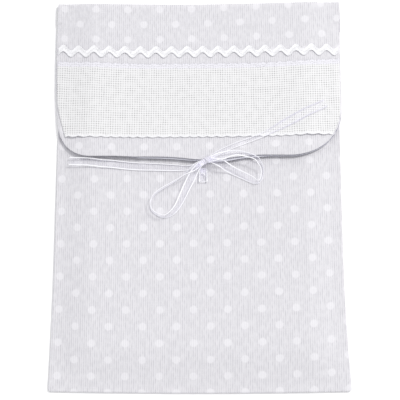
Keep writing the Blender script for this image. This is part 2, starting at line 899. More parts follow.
@dataclass(frozen=True)
class EvenweaveCanvas(Finish):
    """Fourteen-count embroidery canvas: thread groups with a small square hole at each crossing.

    Sized cotton is matt, and gives the eye a white grid of dark points, drawn at its real scale.
    The weave closes up along its selvedges, and is frayed and speckled along the upper one.
    """

    thread: str = "#E9E9EA"
    hole: str = "#727272"
    selvedge: str = "#EFEFF1"
    top_selvedge: str = "#E8E7EE"
    cell_mm: float = 1.814
    selvedge_mm: float = 1.3
    top_selvedge_mm: float = 3.8
    half_width_mm: float = 29.75
    sway_mm: float = 0.45
    ragged_mm: float = 0.8
    hole_sharpness: float = 3.0
    line_cover: float = 0.24
    closed_share: float = 0.45
    speck_cover: float = 0.30
    hole_depth: float = 0.00025

    def weave(self, w: Weaver) -> None:
        """Weave the canvas: a hole where both crossed waves are high, none along the selvedges.

        Args:
            w: the new material's nodes.
        """
        sway = w.swing(w.noise(9.0), self.sway_mm)
        gaps = [
            w.math("POWER", w.wave(w.math("ADD", along, sway), self.cell_mm), self.hole_sharpness)
            for along in (w.x_mm, w.y_mm)
        ]
        lines = w.times(w.math("MAXIMUM", *gaps), self.line_cover)
        dark = w.math("MAXIMUM", w.times(*gaps), lines)
        uneven = w.ramp(w.noise(5.0, detail=3.0), 0.3, 0.7, 0.55, 1.0)
        low = self.half_width_mm - self.selvedge_mm
        high = self.half_width_mm - self.top_selvedge_mm
        ragged = w.swing(w.noise(1.8, (1.0, 0.6)), self.ragged_mm)
        low_edge = w.ramp(w.y_mm, -low - 0.2, -low + 0.4, 1.0, 0.0)
        high_edge = w.ramp(w.math("ADD", w.y_mm, ragged), high - 0.6, high + 0.4)
        closed = w.math("MAXIMUM", low_edge, w.times(high_edge, self.closed_share))
        dark = w.times(w.times(dark, uneven), w.rest_of(closed))
        specks = w.times(w.ramp(w.noise(1.0), 0.56, 0.66, 0.0, self.speck_cover), high_edge)
        dark = w.math("MAXIMUM", dark, specks)
        cloth = w.mix(low_edge, self.thread, self.selvedge)
        cloth = w.mix(high_edge, cloth, self.top_selvedge)
        w.bump(w.rest_of(dark), self.hole_depth)
        w.set(Base_Color=w.mix(dark, cloth, self.hole), Roughness=0.9, Specular_IOR_Level=0.2)


@dataclass(frozen=True)
class BraidCotton(Finish):
    """Mercerised rick-rack: bright cotton plaited on the slant, so it shows small diagonal ribs.

    Mercerised cotton is smoother than the cloth, and gives the eye the whitest line of the bag.
    The plait is drawn a little coarser than the real one, so that it shows.
    """

    thread: str = "#FCFCFE"
    groove: str = "#DEDEE6"
    groove_cover: float = 0.35
    plait_mm: float = 1.1
    lean: float = 1.1
    plait_height: float = 0.00018

    def weave(self, w: Weaver) -> None:
        """Plait the braid: ribs that lean one way on one half of its width and back on the other.

        Args:
            w: the new material's nodes.
        """
        leaning = w.math("MULTIPLY_ADD", w.math("ABSOLUTE", w.y_mm), self.lean, w.x_mm)
        plait = w.wave(leaning, self.plait_mm)
        colour = w.mix(w.times(w.rest_of(plait), self.groove_cover), self.thread, self.groove)
        w.bump(plait, self.plait_height)
        w.set(Base_Color=colour, Roughness=0.7, Sheen_Weight=0.05, Specular_IOR_Level=0.35)


@dataclass(frozen=True)
class Organza(Finish):
    """Sheer nylon ribbon: an open crisp weave that lets the cloth show, with dense bright edges.

    It gives the eye two bright threads with the cloth's own pattern between them. Its weave is
    too fine to draw, so the film is an even veil. Each of the strip's two faces carries half of
    the ribbon's cover. Towards the knot the ribbon is gathered into many layers, so its cover
    rises there, and here and there a crease doubles it. The clear threads pass on the light that
    falls on them instead of shading the cloth, which a faint glow in the film's colour stands for.
    """

    film: str = "#E8E6F6"
    edge: str = "#F9F9FC"
    worn: str = "#D3D0E4"
    edge_scatter: str = "#4C4C50"
    half_width_mm: float = 3.25
    edge_mm: float = 0.85
    edge_blur_mm: float = 0.12
    film_cover: float = 0.032
    crease_cover: float = 0.12
    edge_cover: float = 0.97
    gathered_cover: float = 0.30
    gathered_mm: float = 9.0
    worn_from_mm: float = 200.0
    worn_run_mm: float = 20.0
    worn_edge: float = 0.45
    scatter: float = 0.4

    def weave(self, w: Weaver) -> None:
        """Weave the ribbon: cover is low in the middle, and high at its edges and by the knot.

        Args:
            w: the new material's nodes.
        """
        start = self.half_width_mm - self.edge_mm
        edge = w.ramp(w.math("ABSOLUTE", w.x_mm), start - self.edge_blur_mm, start + self.edge_blur_mm)
        gathered = w.ramp(w.y_mm, 0.0, self.gathered_mm, 1.0, 0.0)
        pleats = w.ramp(w.noise(0.8, (1.0, 7.0)), 0.42, 0.62)
        crease = w.ramp(w.noise(1.3, (1.0, 16.0)), 0.56, 0.68, 0.0, self.crease_cover)
        layers = w.times(gathered, w.math("MULTIPLY_ADD", pleats, self.gathered_cover, 0.05))
        film = w.math("ADD", w.math("MAXIMUM", crease, self.film_cover), layers)
        opened = w.ramp(w.y_mm, 1.0, 7.0, 0.40 * self.edge_cover, self.edge_cover)
        worn_end_mm = self.worn_from_mm + self.worn_run_mm
        worn = w.ramp(w.y_mm, self.worn_from_mm, worn_end_mm, 1.0, self.worn_edge)
        cover = w.math("MAXIMUM", w.times(edge, w.times(opened, worn)), film, clamp=True)
        thread = w.mix(w.ramp(worn, self.worn_edge, 1.0), self.worn, self.edge)
        colour = w.mix(edge, self.film, thread)
        passed_on = w.mix(edge, self.film, self.edge_scatter)
        w.set(Base_Color=colour, Alpha=cover, Roughness=0.45, Specular_IOR_Level=0.4)
        w.set(Emission_Color=passed_on, Emission_Strength=self.scatter, Sheen_Weight=0.1)


@dataclass(frozen=True)
class WrappedOrganza(Finish):
    """The ribbon as it is drawn round the knot: many layers, which hide what lies under them.

    It gives the eye a small bright lump with fine lavender grooves, drawn at their real size.
    """

    wrap: str = "#EFEDF7"
    groove: str = "#CECCDD"
    groove_cover: float = 0.75
    cover: float = 0.94
    pleat_mm: float = 1.5
    pleat_sway_mm: float = 0.8
    pleat_height: float = 0.0002

    def weave(self, w: Weaver) -> None:
        """Draw the ribbon together: the grooves are the squares of a sine wave's low parts.

        Args:
            w: the new material's nodes.
        """
        sway = w.swing(w.noise(2.5), self.pleat_sway_mm)
        pleat = w.wave(w.math("ADD", w.x_mm, sway), self.pleat_mm)
        groove = w.times(w.math("POWER", w.rest_of(pleat), 2.0), self.groove_cover)
        w.bump(pleat, self.pleat_height)
        w.set(Base_Color=w.mix(groove, self.wrap, self.groove), Alpha=self.cover)
        w.set(Roughness=0.45, Specular_IOR_Level=0.4, Sheen_Weight=0.1)


@dataclass(frozen=True)
class SewingThread(Finish):
    """White sewing cotton: smooth, a little brighter than the trims that it holds.

    It gives the eye rows of small bright dashes. Its ply is drawn at about its real pitch.
    """

    thread: str = "#F4F4F6"
    groove: str = "#D2D2D8"
    groove_cover: float = 0.15
    ply_mm: float = 0.5
    ply_height: float = 0.00005

    def weave(self, w: Weaver) -> None:
        """Spin the thread, with the slant ply of spun cotton as a fine ripple.

        Args:
            w: the new material's nodes.
        """
        ply = w.wave(w.math("ADD", w.x_mm, w.y_mm), self.ply_mm)
        w.bump(ply, self.ply_height)
        colour = w.mix(w.times(ply, self.groove_cover), self.thread, self.groove)
        w.set(Base_Color=colour, Roughness=0.6, Specular_IOR_Level=0.35)


def thread_tube(points: np.ndarray, radius: float, flat_x: Optional[float] = None, finish: int = 0) -> Patch:
    """Make a thread along a line: circles round it, drawn in to a point at both ends.

    Args:
        points: the line's points, at least three.
        radius: the thread's radius.
        flat_x: the flat coordinate across, where all of the thread takes the same one.
        finish: which of the piece's finishes it takes.

    Returns:
        The thread's surface.
    """
    tangent = unit(np.gradient(points, axis=0))
    side = unit(np.cross(tangent, UP))
    upward = np.cross(side, tangent)
    reach = way_along(points)
    size = radius * rounded(np.minimum(reach, reach[-1] - reach), 1.5 * radius)[:, None, None]
    angle = np.linspace(0.0, 2 * math.pi, 7)[None, :, None]
    rings = points[:, None] + size * (side[:, None] * np.cos(angle) + upward[:, None] * np.sin(angle))
    around = np.broadcast_to(angle[..., 0] * radius, rings.shape[:2])
    flat = np.stack([around, np.broadcast_to(reach[:, None], around.shape)], axis=-1)
    if flat_x is not None:
        flat = flat * np.array([0.0, 1.0]) + np.array([flat_x, 0.0])
    return Patch(rings, flat, finish)


@dataclass(frozen=True)
class Stitch:
    """The sizes of a row of machine stitches."""

    length: float
    pause: float
    radius: float

    def row(self, line: np.ndarray, finish: int) -> list[Patch]:
        """Sew along a line: each stitch is a short thread, a half sine high, that dips in at both ends.

        Args:
            line: points along the seam, on the cloth's surface.
            finish: which of the piece's finishes the thread takes.

        Returns:
            One patch for each stitch.
        """
        reach = way_along(line)
        starts = np.arange(2 * self.pause, reach[-1] - self.length - self.pause, self.length + self.pause)
        steps = np.array([0.0, 0.12, 0.35, 0.65, 0.88, 1.0]) * self.length
        places = starts[:, None] + steps
        points = np.stack([np.interp(places, reach, line[:, k]) for k in range(3)], axis=-1)
        points[..., 2] += self.radius * (0.6 * np.sin(np.pi * steps / self.length) - 0.1)
        return [thread_tube(stitch, self.radius, finish=finish) for stitch in points]


def seat(piece: bpy.types.Object, node: str) -> bpy.types.Object:
    """Let a piece ride on the bag in place of its solid.

    Args:
        piece: the piece.
        node: the solid that it stands for.

    Returns:
        The same piece.
    """
    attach(piece, "root")
    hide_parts(node)
    LOG.info("%s stands for %s: %d faces", piece.name, node, len(piece.data.polygons))
    return piece


@dataclass
class Pouch:
    """The hollow pouch of dotted cotton, open at the mouth under the flap."""

    form: BagForm
    columns: int = 150
    rows: int = 190
    inner_rows: int = 40
    seam_width: float = 0.0015
    edge_round: float = 0.0007
    edge_steps: Sequence[float] = (0.0, 0.00005, 0.0002, 0.0004, 0.0007, 0.0014)
    dot_mm: tuple[float, float] = (-3.30, -42.24)

    def spread(self, up: np.ndarray, inset: float) -> tuple[np.ndarray, np.ndarray, np.ndarray]:
        """Spread a grid over the pouch's outline, or inside it.

        Args:
            up: the rows' distances from the bottom seam.
            inset: how far inside the outline the grid ends.

        Returns:
            The grid's x and y, and how far inside its own outline each point lies.
        """
        f = self.form
        y = up[:, None] - f.half_height
        left, right = f.pouch_sides(y)
        left, right = left + inset, right - inset
        x = left + (right - left) * close_to_ends(self.columns, self.edge_steps, f.width)
        y = np.broadcast_to(y, x.shape)
        return x, y, np.minimum(np.minimum(x - left, right - x), y + f.half_height - inset)

    def bowed(self, x: np.ndarray, y: np.ndarray, z: np.ndarray, flat: np.ndarray) -> Patch:
        """Raise the bottom seam's ends by a parabola that fades out at half the height.

        Args:
            x: the grid's places across.
            y: its places up.
            z: its heights.
            flat: the flat cloth's coordinates.

        Returns:
            The grid as a patch.
        """
        f = self.form
        near_bottom = np.clip(-y / f.half_height, 0.0, 1.0)
        y = y + f.bottom_bow * (x / f.half_width) ** 2 * near_bottom
        return Patch(np.stack([x, y, z], axis=-1), flat)

    def outer(self, upper: bool) -> Patch:
        """Make the outer face of the front or the back panel.

        Both panels run to the seam's middle height along the outline, rounded as a quarter
        circle, so that they meet there.

        Args:
            upper: whether it is the front panel's.

        Returns:
            The face.
        """
        f = self.form
        reach = f.mouth_y + f.half_height
        up = close_to_ends(self.rows, self.edge_steps, reach) * reach
        x, y, depth = self.spread(up, 0.0)
        full = f.front(x, y) if upper else np.zeros_like(x)
        z = f.seam / 2 + (full - f.seam / 2) * rounded(depth, self.edge_round)
        return self.bowed(x, y, z, body_grain(x if upper else -x, y, z))

    def inner(self, upper: bool) -> Patch:
        """Make the inner face of the front or the back panel, one cloth inside the outer one.

        Args:
            upper: whether it is the front panel's.

        Returns:
            The face.
        """
        f = self.form
        reach = f.mouth_y + f.half_height - self.seam_width
        up = self.seam_width + np.linspace(0.0, 1.0, self.inner_rows) * reach
        x, y, depth = self.spread(up, self.seam_width)
        full = np.maximum(f.front(x, y) - f.cloth, f.cloth * 1.3) if upper else f.cloth
        low = f.cloth * 1.1
        z = low + (full - low) * rounded(depth, self.edge_round)
        return self.bowed(x, y, z, body_grain(x, y, z))

    def rim(self, outer: Patch, inner: Patch) -> Patch:
        """Return the cloth's cut edge at the mouth, between an outer and an inner face."""
        points = np.stack([outer.points[-1], inner.points[-1]])
        return Patch(points, np.stack([outer.flat[-1], inner.flat[-1]]))

    def build(self, cotton: DottedCotton) -> bpy.types.Object:
        """Build the pouch and declare its cloth.

        Args:
            cotton: its finish.

        Returns:
            The piece.
        """
        faces = []
        for upper in (True, False):
            outer, inner = self.outer(upper), self.inner(upper)
            faces += [outer, inner, self.rim(outer, inner)]
        dotted = replace(cotton, origin_mm=self.dot_mm).material("pin_dot_cotton_pouch")
        piece = weld("pouch_cloth", faces, [dotted])
        seat(piece, "pouch")
        return piece


def rows_down(form: BagForm, straight: int, corner: int, edge_steps: Sequence[float]) -> np.ndarray:
    """Share out the rows down the flap's front: even, then by angle, then close to the edge.

    Args:
        form: the bag's sizes.
        straight: how many rows there are down to where the corners start.
        corner: how many rows there are round the corners.
        edge_steps: distances from the lower edge that get a row of their own.

    Returns:
        The rows' shares, as flap_station takes them.
    """
    radius = (form.corner_left + form.corner_right) / 2
    rim_turn = np.degrees(np.arcsin(1 - np.array(edge_steps) / radius)) / 90
    turn = np.linspace(0.0, rim_turn[-1], corner)[:-1]
    even = np.linspace(0.0, 0.5, straight + 1)[:-1]
    return np.concatenate([even, 0.5 + 0.5 * turn, 0.5 + 0.5 * rim_turn[::-1]])


@dataclass
class Flap:
    """The flap: up from the back panel, round the fold, and down over the front."""

    form: BagForm
    columns: int = 150
    fold_steps: int = 18
    back_steps: int = 6
    back_length: float = 0.004
    upper_steps: int = 22
    middle_steps: int = 34
    corner_steps: int = 56
    thickness: float = 0.0008
    edge_round: float = 0.0004
    edge_steps: Sequence[float] = (0.0, 0.00003, 0.0001, 0.0002, 0.0004, 0.0010)
    dot_mm: tuple[float, float] = (-104.47, 144.40)

    def rows(self) -> tuple[np.ndarray, np.ndarray]:
        """Lay out the flap's middle surface.

        The cloth runs flat behind the mouth, turns through a half circle whose diameter is the
        height it has to reach, and then follows the front panel at the underlay's height.

        Returns:
            The grid of its points, and how far each row is along the cloth.
        """
        f = self.form
        across = close_to_ends(self.columns, self.edge_steps, f.width)
        left, right = f.flap_sides(np.array([f.half_height]))
        x = left + (right - left) * across
        middle = f.cloth / 2
        top_z = f.flap_under(x, np.full_like(x, f.mouth_y)) + middle
        radius = (top_z - middle) / 2
        centre_y = f.fold_y(x) - radius - middle
        grid = []
        back_y = f.mouth_y + f.gap
        rim = np.array(self.edge_steps) / self.back_length
        for share in [*rim[:-1], *np.linspace(rim[-1], 1.0, self.back_steps)[:-1]]:
            grid.append(np.stack([x, back_y + (centre_y - back_y) * share, np.full_like(x, middle)], axis=1))
        for angle in np.radians(np.linspace(-90.0, 90.0, self.fold_steps)):
            y = centre_y + radius * math.cos(angle)
            z = middle + radius + radius * math.sin(angle)
            grid.append(np.stack([x, y, z], axis=1))
        front_start = f.half_height - f.facing_start
        for share in np.linspace(0.0, 1.0, self.upper_steps + 1)[1:-1]:
            y = centre_y + (front_start - centre_y) * share
            grid.append(np.stack([x, y, f.flap_under(x, y) + middle], axis=1))
        for share in rows_down(f, self.middle_steps, self.corner_steps, self.edge_steps):
            row_x, row_y = f.flap_station(share, across, 0.0)
            grid.append(np.stack([row_x, row_y, f.flap_under(row_x, row_y) + middle], axis=1))
        points = np.array(grid)
        steps = np.linalg.norm(np.diff(points, axis=0), axis=2).mean(axis=1)
        return points, np.concatenate([[0.0], np.cumsum(steps)])

    def build(self, cotton: DottedCotton) -> bpy.types.Object:
        """Build the flap and declare its cloth.

        Its half thickness follows each point's distance from the rim. The cloth's own map is
        unrolled behind the fold, so that the dots run on round it.

        Args:
            cotton: its finish.

        Returns:
            The piece.
        """
        f = self.form
        points, along = self.rows()
        x, y = points[..., 0], points[..., 1]
        behind = len(self.edge_steps) - 1 + self.back_steps - 1
        folded = behind + self.fold_steps
        depth = f.flap_depth(x, y)
        left, right = f.flap_sides(np.minimum(y, f.half_height))
        side = np.minimum(x - left, right - x)
        from_start = np.broadcast_to(along[:, None], x.shape)
        depth[:folded] = np.minimum(side[:folded], from_start[:folded])
        half = closed_rim(self.thickness / 2 * rounded(depth, self.edge_round))
        cloth_y, cloth_z = y.copy(), points[..., 2].copy()
        cloth_y[:folded] = y[folded][None] + (along[folded] - along[:folded])[:, None]
        cloth_z[:folded] = cloth_z[folded][None]
        faces = two_faces(points, half, flap_grain(x, cloth_y, cloth_z))
        # the rows run down the front, so the first face, on the normals' side, is the hidden one
        faces[0].finish = 1
        dotted = replace(cotton, origin_mm=self.dot_mm).material("pin_dot_cotton_flap")
        piece = weld("flap_cloth", faces, [dotted, Interfacing().material("interfacing_flap")])
        seat(piece, "flap")
        return piece


@dataclass
class Facing:
    """The plain facing under the flap, which peeps out as a thin lip along the flap's edge."""

    form: BagForm
    shows: float = 0.0018
    tucked: float = 0.8
    # start, run: the shares of the width over which the lip comes out, widens and narrows again
    comes_out: tuple[float, float] = (0.12, 0.12)
    widens: tuple[float, float] = (0.50, 0.15)
    narrows: tuple[float, float] = (0.80, 0.10)
    thickness: float = 0.0004
    below_flap: float = 0.0008
    columns: int = 150
    straight_steps: int = 20
    corner_steps: int = 40
    edge_round: float = 0.0002
    edge_steps: Sequence[float] = (0.0, 0.00003, 0.0001, 0.0002, 0.0008)

    def lip(self, across: np.ndarray) -> np.ndarray:
        """Find how far the facing shows past the flap: most right of the bow, and unevenly.

        Round the flap's left corner it draws back under the cloth and doesn't show at all.

        Args:
            across: shares of the flap's width, from its left end.

        Returns:
            How far it is pushed out past the flap's outline at each place.
        """
        uneven = 0.5 + 0.5 * np.sin(across * 21.0 + 1.5 * np.sin(across * 9.0))
        stretches = (self.comes_out, self.widens, self.narrows)
        out, wide, narrow = (smooth_step((across - start) / run) for start, run in stretches)
        shown = 0.30 + 0.40 * wide + 0.30 * uneven
        return self.shows * (shown * out * (1.0 - 0.6 * narrow) - self.tucked * (1.0 - out))

    def build(self, cotton: PlainCotton) -> bpy.types.Object:
        """Build the facing one gap below the flap and declare its cloth.

        Its half thickness is a quarter circle of each point's distance from its own rim.

        Args:
            cotton: the finish of the side that shows.

        Returns:
            The piece.
        """
        f = self.form
        across = close_to_ends(self.columns, self.edge_steps, f.width)
        grow = self.lip(across)
        top = f.half_height - f.facing_start
        middle = self.below_flap + self.thickness / 2
        grid = []
        for share in rows_down(f, self.straight_steps, self.corner_steps, self.edge_steps):
            x, y = f.flap_station(share, across, grow)
            y = np.minimum(y, top)
            grid.append(np.stack([x, y, f.flap_under(x, y) - middle], axis=1))
        points = np.array(grid)
        x, y = points[..., 0], points[..., 1]
        aside = np.minimum(x - x[:, :1], x[:, -1:] - x)
        depth = np.minimum(np.minimum(aside, top - y), y - y[-1:].max())
        depth = np.where(depth < 0, y - y[-1:], depth)
        half = closed_rim(self.thickness / 2 * rounded(np.maximum(depth, 0.0), self.edge_round))
        faces = two_faces(points, half, np.stack([x, y], axis=-1))
        # as on the flap, the first face is the hidden one
        faces[0].finish = 1
        finishes = [cotton.material("plain_cotton_facing"), Interfacing().material("interfacing_facing")]
        piece = weld("facing_cloth", faces, finishes)
        seat(piece, "flap_facing")
        return piece


@dataclass
class CanvasBand:
    """The band of embroidery canvas across the flap, with scalloped selvedges."""

    form: BagForm
    top_drop: float = 0.0549
    bottom_drop: float = 0.1144
    top_sag: float = 0.0060
    bottom_sag: float = 0.0036
    thickness: float = 0.0008
    above_flap: float = 0.0002
    inset: float = 0.0006
    scallop: float = 0.0075
    scallop_depth: float = 0.00085
    end_draw: tuple[float, float] = (0.0034, 0.0012)
    draw_from: float = 0.55
    curls: Table = ((-0.0955, 0.008), (0.088, 0.010))
    curl_rise: float = 0.0010
    curl_width: float = 0.0035
    fray: float = 0.00032
    fray_waves: tuple[float, float, float] = (0.00049, 0.0018, 0.00029)
    rim_rise: float = 0.00022
    rim_in: float = 0.0008
    rim_spread: float = 0.0005
    edge_round: float = 0.0006
    seams: tuple[float, float] = (0.0014, 0.0583)
    stitch: Stitch = Stitch(0.0022, 0.0006, 0.00015)
    columns: int = 330
    rows: int = 60
    edge_steps: Sequence[float] = (0.0, 0.00008, 0.0003, 0.0006, 0.0010, 0.0017)
    end_steps: Sequence[float] = (0.0, 0.0001, 0.0004, 0.001)

    @property
    def span(self) -> float:
        """How far the lower selvedge lies from the upper one."""
        return self.bottom_drop - self.top_drop

    def outline(self, down: np.ndarray, across: np.ndarray) -> tuple[np.ndarray, np.ndarray]:
        """Hang the band's grid between its two edges, its ends following the flap's.

        Where the ends lie depends on y, and y on x, so the two are worked out in turns.

        Args:
            down: the rows' shares from the upper selvedge to the lower one.
            across: the columns' shares from the left end to the right one.

        Returns:
            The grid's x and y.
        """
        f = self.form
        drop = self.top_drop + self.span * down
        sag = self.top_sag + (self.bottom_sag - self.top_sag) * down
        draw = smooth_step((down - self.draw_from) / (1 - self.draw_from))
        y = np.broadcast_to(f.half_height - drop, (down.shape[0], across.shape[1]))
        x = y
        for _ in range(4):
            left, right = f.flap_edges(y)
            start = left + self.inset + self.end_draw[0] * draw
            end = right - self.inset - self.end_draw[1] * draw
            x = start + (end - start) * across
            y = f.half_height - drop + f.hang(x, sag)
        return x, y

    def build(self, canvas: EvenweaveCanvas, thread: SewingThread) -> bpy.types.Object:
        """Build the band: a grid between its two hanging edges, thicker along its selvedges.

        Each selvedge bulges out in shallow scallops, the absolute value of a sine wave. The upper
        one is frayed by two finer waves, and the lower one curls up along bell curves.

        Args:
            canvas: its finish.
            thread: the finish of its two seams.

        Returns:
            The piece.
        """
        f = self.form
        down = close_to_ends(self.rows, self.edge_steps, self.span)[:, None]
        across = close_to_ends(self.columns, self.end_steps, f.width)[None]
        x, y = self.outline(down, across)
        turn = np.pi * x / self.scallop
        bulge = self.scallop_depth * (np.abs(np.sin(turn + 0.6 * np.sin(turn / 3.7))) - 0.6)
        long_wave, drift, short_wave = (x / run for run in self.fray_waves)
        frayed = np.sin(long_wave + 1.3 * np.sin(drift)) + 0.6 * np.sin(short_wave)
        bulge = bulge + self.fray * frayed * (down < 0.5)
        to_edge = np.abs(2 * down - 1) ** 6
        y = y + bulge * to_edge * np.where(down < 0.5, 1.0, -1.0)
        from_selvedge = np.minimum(down, 1 - down) * self.span
        from_end = np.minimum(across, 1 - across) * f.width
        edge = rounded(np.minimum(from_selvedge, from_end), self.edge_round)
        rim = self.rim_rise * np.exp(-(((from_selvedge - self.rim_in) / self.rim_spread) ** 2))
        half = (self.thickness / 2 + rim) * edge
        half_low = (self.thickness / 2) * edge
        z = f.flap_top(x, y) + self.above_flap + self.thickness / 2
        curl = sum(np.exp(-(((x - place) / spread) ** 2)) for place, spread in self.curls)
        curl = self.curl_rise * (curl + 0.25 * np.abs(np.cos(turn)))
        z = z + curl * smooth_step(1.0 - (1 - down) * self.span / self.curl_width)
        points = np.stack([x, y, z], axis=-1)
        flat = np.stack([x, np.broadcast_to((0.5 - down) * self.span, x.shape)], axis=-1)
        stitches = []
        for seam_drop in self.seams:
            row = int(np.argmin(np.abs(down[:, 0] * self.span - seam_drop)))
            stitches += self.stitch.row(points[row] + UP * self.thickness / 2, 1)
        finishes = [canvas.material("embroidery_canvas"), thread.material("sewing_thread_canvas")]
        faces = two_faces(points, (half, half_low), flat)
        piece = weld("canvas_band_weave", [*faces, *stitches], finishes)
        seat(piece, "canvas_band")
        return piece


@dataclass
class RickRack:
    """The wavy braid above the canvas band."""

    form: BagForm
    drop: float = 0.0448
    sag: float = 0.0034
    width: float = 0.0056
    height: float = 0.0098
    wave: float = 0.0120
    phase: float = -120.0
    thickness: float = 0.0007
    above_flap: float = 0.00025
    end_inset: float = 0.0012
    end_rise: float = 0.0015
    rise_from: float = 0.085
    rise_run: float = 0.025
    edge_round: float = 0.0005
    end_round: float = 0.0004
    seam_inset: float = 0.002
    seam_points: int = 900
    stitch: Stitch = Stitch(0.0021, 0.0005, 0.00016)
    steps_a_wave: int = 36
    edge_steps: Sequence[float] = (0.0, 0.0001, 0.0004, 0.0008)

    def middle(self, x: np.ndarray) -> np.ndarray:
        """Find the braid's middle line: a cosine wave on its hanging line, its left end raised.

        Args:
            x: places across the bag.

        Returns:
            The middle line's y at each place.
        """
        f = self.form
        start = self.ends()[0]
        turn = (x - start) / self.wave * 2 * math.pi + math.radians(self.phase)
        swing = (self.height - self.width) / 2
        rise = self.end_rise * smooth_step((-x - self.rise_from) / self.rise_run)
        return f.half_height - self.drop + f.hang(x, self.sag) + rise + swing * np.cos(turn)

    def ends(self) -> tuple[float, float]:
        """Return the x of the braid's two ends."""
        left, right = self.form.flap_edges(np.array([self.form.half_height - self.drop]))
        return float(left[0]) + self.end_inset, float(right[0]) - self.end_inset

    def build(self, braid: BraidCotton, thread: SewingThread) -> bpy.types.Object:
        """Build the braid: its wave swept by a flat section, sewn on along its middle.

        Args:
            braid: its finish.
            thread: the finish of its seam.

        Returns:
            The piece.
        """
        f = self.form
        start, end = self.ends()
        count = int((end - start) / self.wave * self.steps_a_wave)
        along = close_to_ends(count, self.edge_steps[:-1], end - start)
        x = (start + (end - start) * along)[None]
        across = (close_to_ends(9, self.edge_steps, self.width) * 2 - 1)[:, None]
        y = self.middle(x) - across * self.width / 2
        x = np.broadcast_to(x, y.shape)
        edge = rounded((1 - np.abs(across)) * self.width / 2, self.edge_round)
        end_edge = rounded(np.minimum(x - start, end - x), self.end_round)
        half = self.thickness / 2 * edge * end_edge
        z = f.flap_top(x, y) + self.above_flap + self.thickness / 2
        points = np.stack([x, y, z], axis=-1)
        flat = np.stack([x, np.broadcast_to(across * self.width / 2, x.shape)], axis=-1)
        seam_x = np.linspace(start + self.seam_inset, end - self.seam_inset, self.seam_points)
        seam_y = self.middle(seam_x)
        seam_z = f.flap_top(seam_x, seam_y) + self.above_flap + self.thickness
        stitches = self.stitch.row(np.stack([seam_x, seam_y, seam_z], axis=1), 1)
        finishes = [braid.material("plaited_braid_cotton"), thread.material("sewing_thread_braid")]
        piece = weld("rick_rack", [*two_faces(points, half, flat), *stitches], finishes)
        return seat(piece, "rick_rack_braid")


def smooth_route(points: Sequence[Sequence[float]], count: int) -> np.ndarray:
    """Return even points along one smooth curve through the points given.

    Each stretch is the cubic that leaves a point along the line between its two neighbours.

    Args:
        points: the points to pass through, whose first two numbers are their place.
        count: how many even points to return.

    Returns:
        An array of count rows, with the columns of the points.
    """
    knots = np.array(points, dtype=float)
    padded = np.vstack([2 * knots[0] - knots[1], knots, 2 * knots[-1] - knots[-2]])
    t = np.linspace(0.0, 1.0, FINE_STEPS, endpoint=False)[None, :, None]
    p0, p1, p2, p3 = (padded[k : len(padded) - 3 + k, None, :] for k in range(4))
    curve = 0.5 * (
        2 * p1
        + (p2 - p0) * t
        + (2 * p0 - 5 * p1 + 4 * p2 - p3) * t**2
        + (3 * p1 - p0 - 3 * p2 + p3) * t**3
    )
    fine = np.vstack([curve.reshape(-1, knots.shape[1]), knots[-1:]])
    reach = way_along(fine[:, :2])
    even = np.linspace(0.0, reach[-1], count)
    return np.stack([np.interp(even, reach, fine[:, k]) for k in range(fine.shape[1])], axis=1)


def eased(height: np.ndarray, passes: int) -> np.ndarray:
    """Ease a line's steps by running means of three, never going below the line itself.

    Args:
        height: the line's heights.
        passes: how often the mean is taken.

    Returns:
        The eased heights.
    """
    line = height.copy()
    for _ in range(passes):
        padded = np.concatenate([line[:1], line, line[-1:]])
        line = np.maximum(height, (padded[:-2] + padded[1:-1] + padded[2:]) / 3)
    return line


class Strand(Enum):
    """Which strand of a loop lies over the other where they meet at the knot."""

    LEAVING = 0
    RETURNING = 1


@dataclass(frozen=True)
class RibbonLine:
    """A ribbon's centre line, the direction of its width and its width at each station."""

    centre: np.ndarray
    side: np.ndarray
    width: np.ndarray


@dataclass(frozen=True)
class LoopShape:
    """A loop's stations as shares along and across with the ribbon's lean, and its sizes."""

    route: Table
    length: float
    breadth: float
    heading: float
    over: Strand


